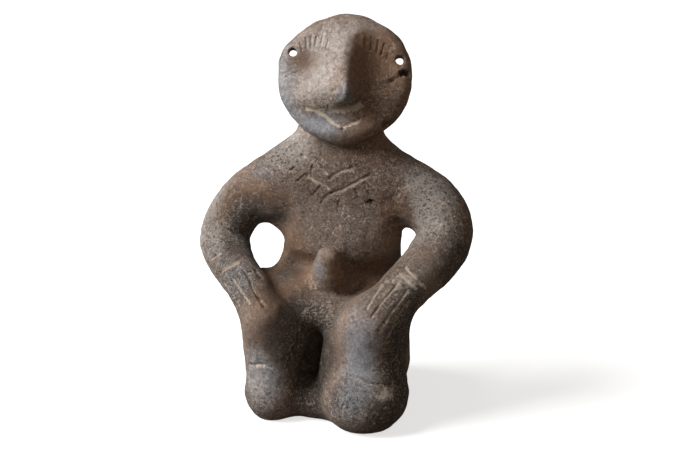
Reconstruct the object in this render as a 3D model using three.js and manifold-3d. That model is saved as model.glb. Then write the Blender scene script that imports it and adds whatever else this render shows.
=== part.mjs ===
// A small seated figure of dark fired clay, modelled by hand in one lump.
// Millimetres, +Z up. The figure faces -Y, and its right hand is on the -X side.
// The origin is the middle of its underside, at the middle of its outer box.
//
// The clay is described as a field: a number for every point in space, negative inside the clay
// and positive outside, roughly the distance to its skin. Rolls, balls and plates of clay are
// joined by a soft minimum, which leaves a smear of clay in each joint as a thumb does.
// The head is a plate of its own, pressed on to the neck, so its rim stands proud there.

import * as THREE from "three";
import { mergeVertices } from "three/addons/utils/BufferGeometryUtils.js";
import Module from "manifold-3d";

const wasm = await Module();
wasm.setup();

// Driving dimensions

const HEAD_WIDTH = 56.6;
const HEAD_HEIGHT_ABOVE_EYES = 26;
const EYE_LINE = 1.4;
const CHIN_RADIUS = 11.2;
const CHIN_DROP = 18.6;
const HEAD_CENTRE = new THREE.Vector3(-0.6, 0.5, 139);
const HEAD_TURN = THREE.MathUtils.degToRad(11);
const HEAD_LEAN = THREE.MathUtils.degToRad(15);
const HEAD_TIP = THREE.MathUtils.degToRad(-1.5);
const NOSE_HEIGHT = 11.2;
const NOSE_ROOT = 1.4;
const NOSE_SLANT = 0.06;
const EAR_HOLE_DIAMETER = 3.6;
const GROOVE_WIDTH = 2;

// Rolls of clay as key points: x, y, z and the radius there.
const RIGHT_ARM = [
  [-3, 6, 101, 12],
  [-16, 6, 100.5, 12],
  [-31.5, 5, 94, 11.6],
  [-45.7, 4, 83.3, 11.5],
  [-52.5, 0, 70.5, 10.9],
  [-48, -8, 61, 10.2],
  [-36.5, -22, 53.5, 9],
  [-27.6, -34, 45, 8],
];
const LEFT_ARM = [
  [-3, 6, 101, 12],
  [10, 6, 99, 12],
  [24, 5, 93.6, 12],
  [36.6, 4, 87, 12.2],
  [42.6, 0, 76.7, 11.8],
  [39.6, -8, 67.4, 11.1],
  [28.8, -23, 56.7, 9.8],
  [20, -34, 46, 9.4],
];
const RIGHT_THIGH = [[-16, 6, 36, 13], [-24, -24, 36, 12.5]];
const LEFT_THIGH = [[8, 6, 38, 13], [16.6, -24, 39, 14]];
const RIGHT_SHIN = [[-25.6, -28, 36, 10.6], [-25.2, -28, 24, 11], [-25, -28, 12, 11.2]];
const LEFT_SHIN = [[17, -28, 40, 13.2], [17.2, -28, 26, 13.6], [17, -29, 16, 16]];
const LAP_CONE = [[-4, -4, 53, 9.5], [-4, -12, 58, 8], [-3.2, -17.5, 67, 4.8]];

// Trunk stations from the seat up to the neck:
// height, front face, back face, middle across and half width.
const TRUNK = [
  [6, -6, 33, -3.6, 28],
  [22, -8, 35, -3.6, 28.2],
  [40, -9, 32, -3.4, 27.6],
  [54, -5.2, 26, -2.8, 25.8],
  [60, -4.8, 23.5, -2.9, 25.5],
  [67, -8.4, 22, -2.8, 25.8],
  [76, -9.2, 20.8, -2.5, 26],
  [92, -8, 19.6, -3, 28.4],
  [101, -7.6, 19, -3.3, 27],
  [109, -6.6, 18.4, -3.5, 22],
  [117, -5, 18, -3.6, 17.8],
  [126, -3, 18, -3, 16.8],
];
const TRUNK_SQUARENESS = 2.5;

// Balls of clay: centre and radii. A turn, where there is one, is about the upright axis.
const RIGHT_FOOT = { centre: [-24.7, -27, 9], radii: [11.3, 13, 11.5] };
const LEFT_FOOT = { centre: [14.2, -32, 11.5], radii: [16.8, 17.5, 13.5], turn: 12 };
const RIGHT_ARMPIT = { centre: [-32, 5, 85], radii: [10, 9, 9] };
const LEFT_ARMPIT = { centre: [25.5, 5, 91], radii: [8, 9, 7] };
const RIGHT_HIP = { centre: [-27, 0, 44], radii: [10, 14, 9.5] };
const LEFT_HIP = { centre: [18, -2, 43], radii: [11, 14, 10] };
const BELLY = { centre: [1.5, 1.5, 71.5], radii: [15.5, 12.4, 12] };
const BELOW_THE_GAP = { centre: [-33.5, -2, 50.6], radii: [8, 9, 6.2] };
const ABOVE_THE_HIP = { centre: [-28, 4, 58], radii: [6.5, 9, 6.5] };
const BESIDE_THE_GAP = { centre: [-28, 5, 75.5], radii: [5, 7, 4] };
const RIGHT_LAP = { centre: [-19, -11, 49.5], radii: [10, 11, 8] };
const LAP_LUMP = { centre: [-3, -17, 43], radii: [13, 8, 8] };
const WEB_OF_THE_FEET = { centre: [-5, -21, 7], radii: [21, 13, 9] };
const INSIDE_THE_LEFT_SHIN = { centre: [5, -22, 20], radii: [11, 13, 24] };
const NAPE = { centre: [-2, 8, 128], radii: [14.6, 9, 16] };
const SEAT_BLOCK = { centre: [-3.4, 4, 15], half: [27, 20, 22], round: 9 };

// The gap inside the right arm is an oval hole pushed through from the front. It is given as seen
// along its own run: how far that run is turned and tipped, the middle above the ground under the
// chest, and half of its width and height.
const GAP_TURN = THREE.MathUtils.degToRad(12);
const GAP_TIP = THREE.MathUtils.degToRad(15);
const GAP_BASE = 74.7;
const GAP = { across: -32.8, up: -7, half: [5.9, 8.8], rounding: 4 };

// Carved lines on the front, as x and z, cut straight back into the skin.
const CHEST_LINES = [
  [[-18, 109], [-13.5, 106], [-9.5, 103.5], [-5, 100]],
  [[-5, 98], [-2.5, 100.5], [1, 102.5], [5, 105]],
  [[-15, 100], [-12.5, 98.2], [-9.5, 97], [-5, 93.5]],
  [[-9, 88], [-5.5, 91.5], [0, 94], [5.5, 97], [13.5, 102]],
];
const RIGHT_FINGER_LINES = [
  [[-48, 55.5], [-44.5, 53], [-40.5, 51.7], [-36.2, 49]],
  [[-42.7, 59.3], [-39.5, 56.7], [-34, 53], [-31.3, 51.2]],
  [[-38, 62.5], [-34.4, 59.6], [-31, 56], [-25, 50.3]],
];
const LEFT_FINGER_LINES = [
  [[24, 63], [20.7, 59.3], [17, 52.7]],
  [[28.5, 63], [25.8, 59.3], [19.4, 50.2]],
  [[32.6, 60.5], [30, 56.3], [22.3, 45.4]],
];
const BRACELET_LINES = [
  [[-55, 62.3], [-52.6, 64.5], [-49.4, 66.5]],
  [[-50, 57.7], [-46.8, 61], [-40, 64.2]],
  [[29.4, 68], [34.4, 63.8], [39.4, 58.5]],
  [[27.7, 65.6], [31, 63.3], [35.9, 59.2]],
];
// On the face, the numbers are sideways and up from the middle of the head.
const MOUTH_LINE = [
  [-17, -12.2],
  [-12.5, -13.1],
  [-8.9, -15],
  [-5.8, -17.7],
  [-1.3, -20],
  [3.6, -18.9],
  [7.3, -16.4],
];
const EAR_HOLES = [[-20.6, 11.1], [23.2, 6.8]];

// The face plate's thickness: at its rim, added at its middle, and how fast it rises from the rim.
const FRONT_PLATE = { rim: 4, crown: 5, power: 0.6 };
const REAR_PLATE = { rim: 3.6, crown: 7, power: 0.7 };

// Clay pushed on or pressed in by a thumb: height, sideways, up, and its reach in both ways.
const THUMB_MARKS = [
  [1, 0, 18, 22, 8],
  [-2, -15, 6, 8, 8],
  [-4.6, 11.5, 4, 7.5, 11.5],
  [-1.5, 18, 4, 8, 8],
  [1.8, -13, -6, 7, 6],
  [0.8, 16, -11, 9, 7],
  [-1.2, 1, -16.5, 13, 3],
  [3.2, -3, -24, 13, 6.5],
];

// Nose stations: up, share of the nose's height, and its reach to the right and to the left.
const NOSE = [
  [-40, 0, 6, 5],
  [-16, 0, 6.4, 6],
  [-13, 0.13, 6.4, 6],
  [-10.5, 0.74, 6.2, 5.5],
  [-7.5, 1, 5.8, 5],
  [0, 0.68, 4.8, 4.2],
  [7, 0.34, 4, 3.6],
  [13, 0.12, 3.8, 3.5],
  [19, 0.02, 4, 3.6],
  [40, 0, 4, 4],
];

// The crest is sharp at the tip of the nose and blunter towards its root: bluntness of each,
// and the heights between which it changes.
const NOSE_CREST = { tip: 0.02, root: 0.27, from: -3, to: 9 };

// Flats on the crown: which side, how far out and how far up.
const CROWN_FLATS = [[1, 16, 24.7], [-1, 13.5, 23.8]];
const CROWN_SLOPE = THREE.MathUtils.degToRad(30);

// How far the clay is smeared in each joint
const SMEAR = {
  shoulders: 8,
  armpits: 5,
  belly: 6,
  knees: 8,
  rightFoot: 4,
  leftFoot: 5,
  legs: 7,
  hips: 7,
  lapLump: 5,
  lapCone: 4,
  block: 6,
  web: 5,
  insideTheShin: 6,
  rightLap: 6,
  besideTheGap: 4,
  nape: 8,
  trunkEnds: 8,
  crown: 5,
  faceRim: 5,
  rearRim: 8,
};

// Soft joints between pieces of the field

function softMin(a, b, reach) {
  const h = Math.max(reach - Math.abs(a - b), 0) / reach;
  return Math.min(a, b) - h * h * reach * 0.25;
}

function softMax(a, b, reach) {
  return -softMin(-a, -b, reach);
}

// A smooth curve through key values, with one column for each quantity (Catmull-Rom).
function smoothSpan(p0, p1, p2, p3, t) {
  return p1.map((v, i) => {
    const a = 2 * p0[i] - 5 * v + 4 * p2[i] - p3[i];
    const b = 3 * v - p0[i] - 3 * p2[i] + p3[i];
    return 0.5 * (2 * v + (p2[i] - p0[i]) * t + a * t * t + b * t * t * t);
  });
}

function smoothKeys(keys, partsPerSpan) {
  const beyond = (a, b) => a.map((v, i) => 2 * v - b[i]);
  const all = [beyond(keys[0], keys[1]), ...keys, beyond(keys.at(-1), keys.at(-2))];
  const out = [];
  for (let i = 1; i < all.length - 2; i++) {
    for (let j = 0; j < partsPerSpan; j++) {
      out.push(smoothSpan(all[i - 1], all[i], all[i + 1], all[i + 2], j / partsPerSpan));
    }
  }
  out.push(keys.at(-1));
  return out;
}

// A value read off stations at height z, with a smooth slope through each station.
function slopeAt(stations, i, column) {
  const low = stations[Math.max(i - 1, 0)];
  const here = stations[i];
  const high = stations[Math.min(i + 1, stations.length - 1)];
  if (low === here) return (high[column] - here[column]) / (high[0] - here[0]);
  if (high === here) return (here[column] - low[column]) / (here[0] - low[0]);
  const below = here[0] - low[0];
  const above = high[0] - here[0];
  const rise = (high[column] - here[column]) * below * below;
  const fall = (here[column] - low[column]) * above * above;
  return (rise + fall) / (below * above * (below + above));
}

function station(stations, z, column) {
  const last = stations.length - 1;
  const height = THREE.MathUtils.clamp(z, stations[0][0], stations[last][0]);
  let i = 0;
  while (i < last - 1 && stations[i + 1][0] <= height) i++;
  const span = stations[i + 1][0] - stations[i][0];
  const t = (height - stations[i][0]) / span;
  const t2 = t * t;
  const t3 = t2 * t;
  const startSlope = slopeAt(stations, i, column) * span;
  const endSlope = slopeAt(stations, i + 1, column) * span;
  return (
    (2 * t3 - 3 * t2 + 1) * stations[i][column] +
    (t3 - 2 * t2 + t) * startSlope +
    (3 * t2 - 2 * t3) * stations[i + 1][column] +
    (t3 - t2) * endSlope
  );
}

// Rolls, balls and blocks

function tapered(p, a, b) {
  const ux = b[0] - a[0];
  const uy = b[1] - a[1];
  const uz = b[2] - a[2];
  const along = (p[0] - a[0]) * ux + (p[1] - a[1]) * uy + (p[2] - a[2]) * uz;
  const t = THREE.MathUtils.clamp(along / (ux * ux + uy * uy + uz * uz), 0, 1);
  const gap = Math.hypot(p[0] - a[0] - t * ux, p[1] - a[1] - t * uy, p[2] - a[2] - t * uz);
  return gap - (a[3] + (b[3] - a[3]) * t);
}

function makeRoll(keys, partsPerSpan = 6) {
  const points = smoothKeys(keys, partsPerSpan);
  return (p) => {
    let nearest = Infinity;
    for (let i = 0; i + 1 < points.length; i++) {
      nearest = Math.min(nearest, tapered(p, points[i], points[i + 1]));
    }
    return nearest;
  };
}

function makeBall({ centre, radii, turn = 0 }) {
  const c = Math.cos(THREE.MathUtils.degToRad(turn));
  const s = Math.sin(THREE.MathUtils.degToRad(turn));
  return (p) => {
    const dx = p[0] - centre[0];
    const dy = p[1] - centre[1];
    const x = (dx * c + dy * s) / radii[0];
    const y = (dy * c - dx * s) / radii[1];
    const z = (p[2] - centre[2]) / radii[2];
    const n = Math.hypot(x, y, z);
    const slope = Math.hypot(x / radii[0], y / radii[1], z / radii[2]);
    return (n * (n - 1)) / (slope + 1e-9);
  };
}

function makeBlock({ centre, half, round }) {
  return (p) => {
    const q = centre.map((c, i) => Math.abs(p[i] - c) - (half[i] - round));
    const outside = Math.hypot(Math.max(q[0], 0), Math.max(q[1], 0), Math.max(q[2], 0));
    return outside + Math.min(Math.max(q[0], q[1], q[2]), 0) - round;
  };
}

// Trunk: a squarish oval section that follows the stations
function trunk(p) {
  const z = p[2];
  const front = station(TRUNK, z, 1);
  const back = station(TRUNK, z, 2);
  const deep = (back - front) / 2;
  const wide = station(TRUNK, z, 4);
  const x = Math.abs(p[0] - station(TRUNK, z, 3)) / wide;
  const y = Math.abs(p[1] - (front + back) / 2) / deep;
  const ring = (x ** TRUNK_SQUARENESS + y ** TRUNK_SQUARENESS) ** (1 / TRUNK_SQUARENESS);
  const ends = Math.max(TRUNK[0][0] - z, z - TRUNK.at(-1)[0]);
  return softMax((ring - 1) * Math.min(wide, deep), ends, SMEAR.trunkEnds);
}

// Head: a round plate narrowing to the chin, with the face as a relief on its front

const HEAD_AXES = new THREE.Matrix4()
  .makeRotationZ(HEAD_TURN)
  .multiply(new THREE.Matrix4().makeRotationX(-HEAD_LEAN))
  .multiply(new THREE.Matrix4().makeRotationY(HEAD_TIP));
const HEAD_SIDE = new THREE.Vector3().setFromMatrixColumn(HEAD_AXES, 0);
const HEAD_BACK = new THREE.Vector3().setFromMatrixColumn(HEAD_AXES, 1);
const HEAD_UP = new THREE.Vector3().setFromMatrixColumn(HEAD_AXES, 2);

function headPoint(side, back, up) {
  return HEAD_CENTRE.clone()
    .addScaledVector(HEAD_SIDE, side)
    .addScaledVector(HEAD_BACK, back)
    .addScaledVector(HEAD_UP, up);
}

// Two circles, for the skull and the chin, with straight sides that touch both.
function headOutline(side, up) {
  const skull = HEAD_WIDTH / 2;
  const squash = up > EYE_LINE ? skull / HEAD_HEIGHT_ABOVE_EYES : 1;
  const across = Math.abs(side - 0.4);
  const down = (EYE_LINE - up) * squash;
  const taper = (skull - CHIN_RADIUS) / CHIN_DROP;
  const run = Math.sqrt(1 - taper * taper);
  const along = down * run - across * taper;
  let egg = across * run + down * taper - skull;
  if (along < 0) egg = Math.hypot(across, down) - skull;
  else if (along > run * CHIN_DROP) egg = Math.hypot(across, down - CHIN_DROP) - CHIN_RADIUS;
  const flats = CROWN_FLATS.map(([way, out, high]) => {
    return (way * side - out) * Math.sin(CROWN_SLOPE) + (up - high) * Math.cos(CROWN_SLOPE);
  });
  return softMax(egg, Math.max(...flats), SMEAR.crown);
}

function noseHeight(side, up) {
  const offCrest = side - (NOSE_ROOT + NOSE_SLANT * up);
  const reach = station(NOSE, up, offCrest < 0 ? 2 : 3);
  const rootShare = THREE.MathUtils.smoothstep(up, NOSE_CREST.from, NOSE_CREST.to);
  const crest = THREE.MathUtils.lerp(NOSE_CREST.tip, NOSE_CREST.root, rootShare);
  const away = Math.sqrt((offCrest / reach) ** 2 + crest) - Math.sqrt(crest);
  return NOSE_HEIGHT * station(NOSE, up, 1) * Math.exp(-1.2 * away ** 1.5);
}

function plateThickness({ rim, crown, power }, inward) {
  return rim + crown * inward ** power;
}

function faceRelief(side, up) {
  let height = noseHeight(side, up);
  for (const [push, atSide, atUp, wide, tall] of THUMB_MARKS) {
    height += push * Math.exp(-(((side - atSide) / wide) ** 2) - ((up - atUp) / tall) ** 2);
  }
  return height;
}

function headClay(p) {
  const dx = p[0] - HEAD_CENTRE.x;
  const dy = p[1] - HEAD_CENTRE.y;
  const dz = p[2] - HEAD_CENTRE.z;
  const side = dx * HEAD_SIDE.x + dy * HEAD_SIDE.y + dz * HEAD_SIDE.z;
  const back = dx * HEAD_BACK.x + dy * HEAD_BACK.y + dz * HEAD_BACK.z;
  const up = dx * HEAD_UP.x + dy * HEAD_UP.y + dz * HEAD_UP.z;
  const outline = headOutline(side, up);
  const fromMiddle = Math.max(1 + outline / 26, 0);
  const inward = Math.max(1 - fromMiddle * fromMiddle, 0);
  const front = -back - plateThickness(FRONT_PLATE, inward) - faceRelief(side, up);
  const rear = back - plateThickness(REAR_PLATE, inward);
  return softMax(softMax(outline, front, SMEAR.faceRim), rear, SMEAR.rearRim);
}

// The body below the head

const rightArm = makeRoll(RIGHT_ARM);
const leftArm = makeRoll(LEFT_ARM);
const rightThigh = makeRoll(RIGHT_THIGH, 1);
const leftThigh = makeRoll(LEFT_THIGH, 1);
const rightShin = makeRoll(RIGHT_SHIN, 3);
const leftShin = makeRoll(LEFT_SHIN, 3);
const lapCone = makeRoll(LAP_CONE, 3);
const rightFoot = makeBall(RIGHT_FOOT);
const leftFoot = makeBall(LEFT_FOOT);
const rightArmpit = makeBall(RIGHT_ARMPIT);
const leftArmpit = makeBall(LEFT_ARMPIT);
const rightHip = makeBall(RIGHT_HIP);
const leftHip = makeBall(LEFT_HIP);
const belly = makeBall(BELLY);
const belowTheGap = makeBall(BELOW_THE_GAP);
const aboveTheHip = makeBall(ABOVE_THE_HIP);
const besideTheGap = makeBall(BESIDE_THE_GAP);
const rightLap = makeBall(RIGHT_LAP);
const insideTheLeftShin = makeBall(INSIDE_THE_LEFT_SHIN);
const lapLump = makeBall(LAP_LUMP);
const webOfTheFeet = makeBall(WEB_OF_THE_FEET);
const nape = makeBall(NAPE);
const seatBlock = makeBlock(SEAT_BLOCK);

// Negative inside the oval hole: sideways and up as seen along its run.
function gapAir(p) {
  const leftward = p[0] * Math.cos(GAP_TURN) + p[1] * Math.sin(GAP_TURN);
  const backward = p[1] * Math.cos(GAP_TURN) - p[0] * Math.sin(GAP_TURN);
  const upward = (p[2] - GAP_BASE) * Math.cos(GAP_TIP) + backward * Math.sin(GAP_TIP);
  const x = (leftward - GAP.across) / GAP.half[0];
  const y = (upward - GAP.up) / GAP.half[1];
  const n = Math.hypot(x, y);
  return (n * (n - 1)) / (Math.hypot(x / GAP.half[0], y / GAP.half[1]) + 1e-9);
}

function bodyClay(p) {
  let d = trunk(p);
  d = softMin(d, Math.min(rightArm(p), leftArm(p)), SMEAR.shoulders);
  d = softMin(d, Math.min(rightArmpit(p), leftArmpit(p)), SMEAR.armpits);
  d = softMin(d, belly(p), SMEAR.belly);
  d = softMin(d, belowTheGap(p), SMEAR.armpits);
  d = softMin(d, aboveTheHip(p), SMEAR.armpits);
  d = softMin(d, besideTheGap(p), SMEAR.besideTheGap);
  const rightKnee = softMin(rightThigh(p), rightShin(p), SMEAR.knees);
  const leftKnee = softMin(leftThigh(p), leftShin(p), SMEAR.knees);
  const rightLeg = softMin(rightKnee, rightFoot(p), SMEAR.rightFoot);
  const leftLeg = softMin(leftKnee, leftFoot(p), SMEAR.leftFoot);
  d = softMin(d, Math.min(rightLeg, leftLeg), SMEAR.legs);
  d = softMin(d, Math.min(rightHip(p), leftHip(p)), SMEAR.hips);
  d = softMin(d, lapLump(p), SMEAR.lapLump);
  d = softMin(d, lapCone(p), SMEAR.lapCone);
  d = softMin(d, seatBlock(p), SMEAR.block);
  d = softMin(d, webOfTheFeet(p), SMEAR.web);
  d = softMin(d, insideTheLeftShin(p), SMEAR.insideTheShin);
  d = softMin(d, rightLap(p), SMEAR.rightLap);
  d = softMin(d, nape(p), SMEAR.nape);
  return softMax(d, -gapAir(p), GAP.rounding);
}

// Skin: one point in each cell of a grid that the skin crosses, pulled onto the skin

// Evenly spaced planes from low to just past high.
function planes(low, high, step) {
  const count = Math.ceil((high - low) / step) + 1;
  return Array.from({ length: count }, (_, n) => low + n * step);
}

// Planes whose spacing changes on the way: each run ends at a place and has its own step.
function planesInRuns(low, runs) {
  const all = [low];
  for (const [end, step] of runs) {
    while (all.at(-1) < end) all.push(all.at(-1) + step);
  }
  return all;
}

// The body's grid is upright, and closer where the lap and its cone are. The head's follows the nose, with the crest of the nose
// along the middle of one column of cells, so that the crest comes out as one clean edge.
const BODY_GRID = {
  planes: [
    planesInRuns(-68, [[-14, 4.5], [6, 3.3], [60, 4.5]]),
    planesInRuns(-54, [[2, 3.9], [40, 6]]),
    planesInRuns(-9, [[42, 4.5], [74, 3.5], [148, 4.7]]),
  ],
  place: (at) => at,
  clay: bodyClay,
};
const HEAD_GRID = {
  planes: [planes(-34.5, 33, 3), planes(-24, 14, 3), planes(-32.5, 30, 3)],
  place: ([side, back, up]) => headPoint(side + NOSE_ROOT + NOSE_SLANT * up, back, up).toArray(),
  clay: headClay,
};

function indexIn(grid, [i, j, k]) {
  return (i * grid.planes[1].length + j) * grid.planes[2].length + k;
}

// Every grid point from the given one up to, but not including, the last few in each direction.
function* pointsOf(grid, from = [0, 0, 0], short = [0, 0, 0]) {
  const ends = grid.planes.map((axis, n) => axis.length - short[n]);
  for (let i = from[0]; i < ends[0]; i++) {
    for (let j = from[1]; j < ends[1]; j++) {
      for (let k = from[2]; k < ends[2]; k++) yield [i, j, k];
    }
  }
}

function unit(axis) {
  return [0, 1, 2].map((n) => (n === axis ? 1 : 0));
}

function plus(a, b) {
  return a.map((v, n) => v + b[n]);
}

function minus(a, b) {
  return a.map((v, n) => v - b[n]);
}

function gradient(clay, p, probe = 0.05) {
  return [0, 1, 2].map((axis) => {
    const nudge = unit(axis).map((v) => v * probe);
    return (clay(plus(p, nudge)) - clay(minus(p, nudge))) / (2 * probe);
  });
}

function pullOntoSkin(clay, start) {
  let p = start;
  for (let pass = 0; pass < 3; pass++) {
    const slope = gradient(clay, p);
    const steep = Math.max(slope[0] ** 2 + slope[1] ** 2 + slope[2] ** 2, 0.1);
    const step = THREE.MathUtils.clamp(clay(p) / steep, -1.2, 1.2);
    p = p.map((v, i) => v - step * slope[i]);
  }
  return p;
}

// Where two pieces of skin would touch along a grid square's diagonal, the crease is filled.
function fillPinches(grid, field) {
  let filled = 0;
  for (const point of pointsOf(grid, [0, 0, 0], [1, 1, 1])) {
    for (const axis of [0, 1, 2]) {
      const u = unit((axis + 1) % 3);
      const v = unit((axis + 2) % 3);
      const pairs = [
        [point, plus(plus(point, u), v)],
        [plus(point, u), plus(point, v)],
      ].map((pair) => pair.map((at) => indexIn(grid, at)));
      const inside = pairs.map((pair) => pair.every((n) => field[n] < 0));
      const outside = pairs.map((pair) => pair.every((n) => field[n] >= 0));
      let open = null;
      if (inside[0] && outside[1]) open = pairs[1];
      if (inside[1] && outside[0]) open = pairs[0];
      if (!open) continue;
      const nearer = field[open[0]] < field[open[1]] ? open[0] : open[1];
      field[nearer] = -0.01;
      filled++;
    }
  }
  return filled;
}

function sampledField(grid) {
  const field = [];
  for (const point of pointsOf(grid)) {
    field.push(grid.clay(grid.place(point.map((n, axis) => grid.planes[axis][n]))));
  }
  while (fillPinches(grid, field) > 0);
  return field;
}

// The twelve edges of a cell, each as its two corners.
function cellEdges() {
  const edges = [];
  for (const axis of [0, 1, 2]) {
    const u = unit((axis + 1) % 3);
    const v = unit((axis + 2) % 3);
    for (const from of [[0, 0, 0], u, v, plus(u, v)]) edges.push([from, plus(from, unit(axis))]);
  }
  return edges;
}

const EDGES = cellEdges();

// The middle of the places where the skin crosses a cell's edges, or null where it doesn't.
function crossingMiddle(grid, field, cell) {
  const crossings = [];
  for (const [from, to] of EDGES) {
    const a = field[indexIn(grid, plus(cell, from))];
    const b = field[indexIn(grid, plus(cell, to))];
    if (a < 0 === b < 0) continue;
    const share = a / (a - b);
    crossings.push(from.map((f, n) => f + share * (to[n] - f)));
  }
  if (crossings.length === 0) return null;
  return cell.map((c, n) => {
    const part = crossings.reduce((sum, x) => sum + x[n], 0) / crossings.length;
    const axis = grid.planes[n];
    return axis[c] + part * (axis[c + 1] - axis[c]);
  });
}

function skinVertices(grid, field) {
  const vertices = [];
  const vertexOf = new Map();
  for (const cell of pointsOf(grid, [0, 0, 0], [1, 1, 1])) {
    const middle = crossingMiddle(grid, field, cell);
    if (!middle) continue;
    vertexOf.set(indexIn(grid, cell), vertices.length);
    vertices.push(pullOntoSkin(grid.clay, grid.place(middle)));
  }
  return { vertices, vertexOf };
}

// A four-sided face cut along its shorter diagonal.
function halves(vertices, [a, b, c, d]) {
  const distance = (m, n) => Math.hypot(...minus(vertices[m], vertices[n]));
  if (distance(a, c) < distance(b, d)) return [a, b, c, a, c, d];
  return [a, b, d, b, c, d];
}

function skinGeometry(grid) {
  const field = sampledField(grid);
  const { vertices, vertexOf } = skinVertices(grid, field);
  const faces = [];
  for (const axis of [0, 1, 2]) {
    const step = unit(axis);
    const u = unit((axis + 1) % 3);
    const v = unit((axis + 2) % 3);
    for (const point of pointsOf(grid, plus(u, v), step)) {
      const inside = field[indexIn(grid, point)] < 0;
      if (inside === field[indexIn(grid, plus(point, step))] < 0) continue;
      const cells = [minus(minus(point, u), v), minus(point, v), point, minus(point, u)];
      const ring = cells.map((cell) => vertexOf.get(indexIn(grid, cell)));
      faces.push(...halves(vertices, inside ? ring : ring.reverse()));
    }
  }
  const geometry = new THREE.BufferGeometry();
  geometry.setAttribute("position", new THREE.Float32BufferAttribute(vertices.flat(), 3));
  geometry.setIndex(faces);
  return geometry;
}

// Solids for joining and cutting

function solidOf(geometry) {
  const bare = geometry.clone();
  bare.deleteAttribute("normal");
  bare.deleteAttribute("uv");
  const merged = mergeVertices(bare, 1e-4);
  const triVerts = new Uint32Array(merged.index.array);
  const vertProperties = new Float32Array(merged.attributes.position.array);
  return new wasm.Manifold(new wasm.Mesh({ numProp: 3, vertProperties, triVerts }));
}

function geometryOf(solid) {
  const mesh = solid.getMesh();
  const geometry = new THREE.BufferGeometry();
  const positions = new THREE.BufferAttribute(new Float32Array(mesh.vertProperties), 3);
  geometry.setAttribute("position", positions);
  geometry.setIndex(new THREE.BufferAttribute(new Uint32Array(mesh.triVerts), 1));
  return geometry;
}

// Where a straight line first meets the clay, from a start outside it.
function meetSkin(clay, start, direction) {
  const p = start.clone();
  for (let i = 0; i < 400; i++) {
    const d = clay(p.toArray());
    if (d < 0.01) return p;
    p.addScaledVector(direction, Math.min(d, 2) * 0.5 + 0.005);
  }
  return p;
}

// A carved line is cut by a rod with a diamond section whose middle runs along the skin.
function grooveCutter(points) {
  const route = new THREE.CatmullRomCurve3(points);
  const half = GROOVE_WIDTH / 2;
  const section = new THREE.Shape([
    new THREE.Vector2(half, 0),
    new THREE.Vector2(0, half),
    new THREE.Vector2(-half, 0),
    new THREE.Vector2(0, -half),
  ]);
  const steps = Math.max(3, Math.round(route.getLength() / 3.5));
  return new THREE.ExtrudeGeometry(section, { steps, extrudePath: route, bevelEnabled: false });
}

function bodyGroove(line) {
  const back = new THREE.Vector3(0, 1, 0);
  const route = smoothKeys(line, 2);
  return grooveCutter(route.map(([x, z]) => meetSkin(bodyClay, new THREE.Vector3(x, -60, z), back)));
}

function faceGroove(line) {
  const route = smoothKeys(line, 2);
  const start = ([side, up]) => headPoint(side, -30, up);
  return grooveCutter(route.map((at) => meetSkin(headClay, start(at), HEAD_BACK)));
}

function earHoleCutter([side, up]) {
  const rod = new THREE.CylinderGeometry(EAR_HOLE_DIAMETER / 2, EAR_HOLE_DIAMETER / 2, 40, 12);
  rod.applyMatrix4(HEAD_AXES);
  const at = headPoint(side, 0, up);
  rod.translate(at.x, at.y, at.z);
  return rod;
}

// Everything below the ground, which leaves the underside flat.
function groundCutter() {
  const depth = 40;
  const ground = new THREE.BoxGeometry(200, 200, depth);
  ground.translate(0, 0, -depth / 2);
  return ground;
}

function figurineGeometry() {
  const bodyLines = [CHEST_LINES, RIGHT_FINGER_LINES, LEFT_FINGER_LINES, BRACELET_LINES].flat();
  const cutters = [groundCutter(), faceGroove(MOUTH_LINE)];
  cutters.push(...EAR_HOLES.map(earHoleCutter), ...bodyLines.map(bodyGroove));
  let solid = solidOf(skinGeometry(BODY_GRID)).add(solidOf(skinGeometry(HEAD_GRID)));
  for (const cutter of cutters) solid = solid.subtract(solidOf(cutter));
  const geometry = geometryOf(solid);
  geometry.computeBoundingBox();
  const box = geometry.boundingBox;
  geometry.translate(-(box.min.x + box.max.x) / 2, -(box.min.y + box.max.y) / 2, -box.min.z);
  return geometry;
}

const firedClay = new THREE.MeshStandardMaterial({ color: 0x5b5048, roughness: 0.7, metalness: 0 });

const figurine = new THREE.Mesh(figurineGeometry(), firedClay);
figurine.name = "figurine";

const part = new THREE.Group();
part.add(figurine);

export default part;
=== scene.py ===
# %% [markdown]
# # A small seated figure of fired clay
#
# The real thing is one lump of clay, rolled, pinched and pressed by hand, scratched with a
# stick while it was leather-hard, rubbed to a dull shine and fired dark. So the model is one
# mesh too, and it is made the way clay is: rolls and balls joined by a smear, then carved.
#
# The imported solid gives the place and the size. This script only makes the same form finer.

import math

import bpy
import numpy as np
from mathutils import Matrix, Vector


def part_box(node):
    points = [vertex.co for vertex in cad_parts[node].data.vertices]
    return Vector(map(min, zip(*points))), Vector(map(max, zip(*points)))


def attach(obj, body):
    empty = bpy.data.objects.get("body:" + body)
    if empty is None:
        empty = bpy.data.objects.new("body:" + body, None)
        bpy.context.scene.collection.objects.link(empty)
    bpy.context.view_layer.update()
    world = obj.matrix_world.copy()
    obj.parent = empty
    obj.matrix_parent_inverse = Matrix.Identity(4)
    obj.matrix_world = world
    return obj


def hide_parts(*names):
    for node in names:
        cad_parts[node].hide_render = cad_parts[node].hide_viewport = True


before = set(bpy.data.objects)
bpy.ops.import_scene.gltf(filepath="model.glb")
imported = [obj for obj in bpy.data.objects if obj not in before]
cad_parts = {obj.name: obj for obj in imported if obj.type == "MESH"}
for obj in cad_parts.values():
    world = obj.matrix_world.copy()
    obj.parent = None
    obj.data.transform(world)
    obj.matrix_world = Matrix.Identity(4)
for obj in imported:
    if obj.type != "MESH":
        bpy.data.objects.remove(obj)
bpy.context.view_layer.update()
NODE = "figurine"
MM = 0.001
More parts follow.
